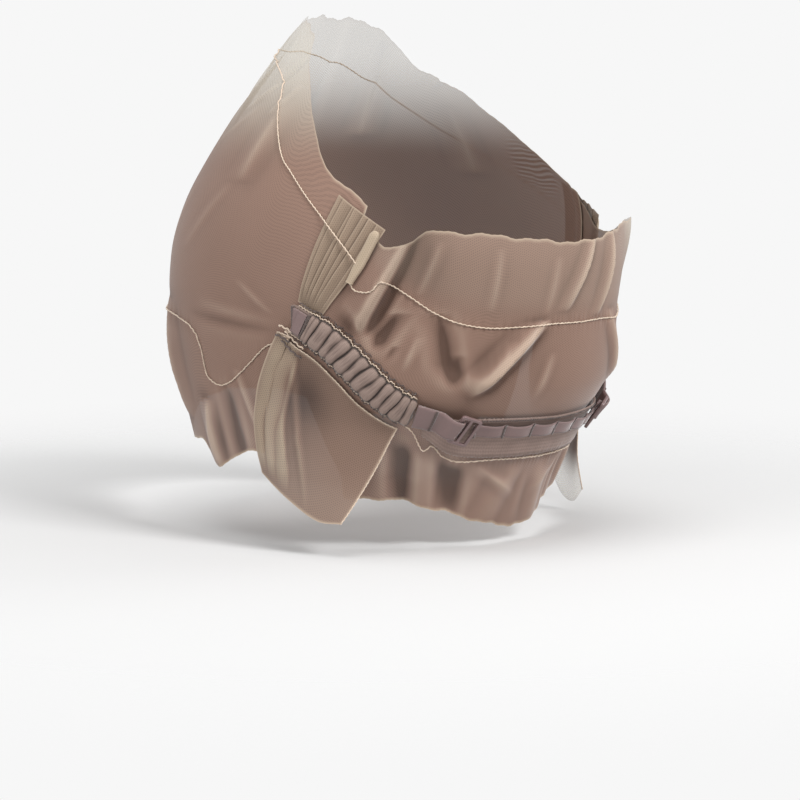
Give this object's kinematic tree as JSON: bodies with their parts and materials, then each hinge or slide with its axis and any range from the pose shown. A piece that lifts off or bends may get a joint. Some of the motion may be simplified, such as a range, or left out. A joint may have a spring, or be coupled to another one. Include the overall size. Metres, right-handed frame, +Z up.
{
  "type": "wig cap",
  "caption": "Sheer lace wig cap with an open crown, pleated side seams, gathered elastic, adjusting straps and a nape band of hook loops.",
  "frame": {"origin": "middle of the head hollow at its widest level, where the wearer's head sits", "axes": "+Z up through the crown, -Y towards the wearer's face, +X towards the wearer's left ear"},
  "size_m": [0.1622, 0.194, 0.1938],
  "materials": {
    "lace": "sheer fine net, matte",
    "pleated_lace": "sheer fine net in pleats, matte",
    "elastic": "gathered ribbed elastic, soft sheen",
    "satin_strap": "smooth woven strap, soft sheen",
    "coated_metal": "smooth nylon coating, satin",
    "nape_elastic": "ribbed elastic band, matte",
    "satin_ribbon": "smooth woven ribbon, soft sheen"
  },
  "bodies": {
    "root": {"front_lace": "lace", "back_lace": "lace", "side_pleats_left": "pleated_lace", "side_pleats_right": "pleated_lace", "ear_flap_left": "lace", "ear_flap_right": "lace", "elastic_casing_left": "elastic", "elastic_casing_right": "elastic", "adjuster_strap_left": "satin_strap", "adjuster_strap_right": "satin_strap", "slider_left": "coated_metal", "slider_right": "coated_metal", "nape_band": "nape_elastic", "loop_ribbon": "satin_ribbon"}
  },
  "joints": []
}
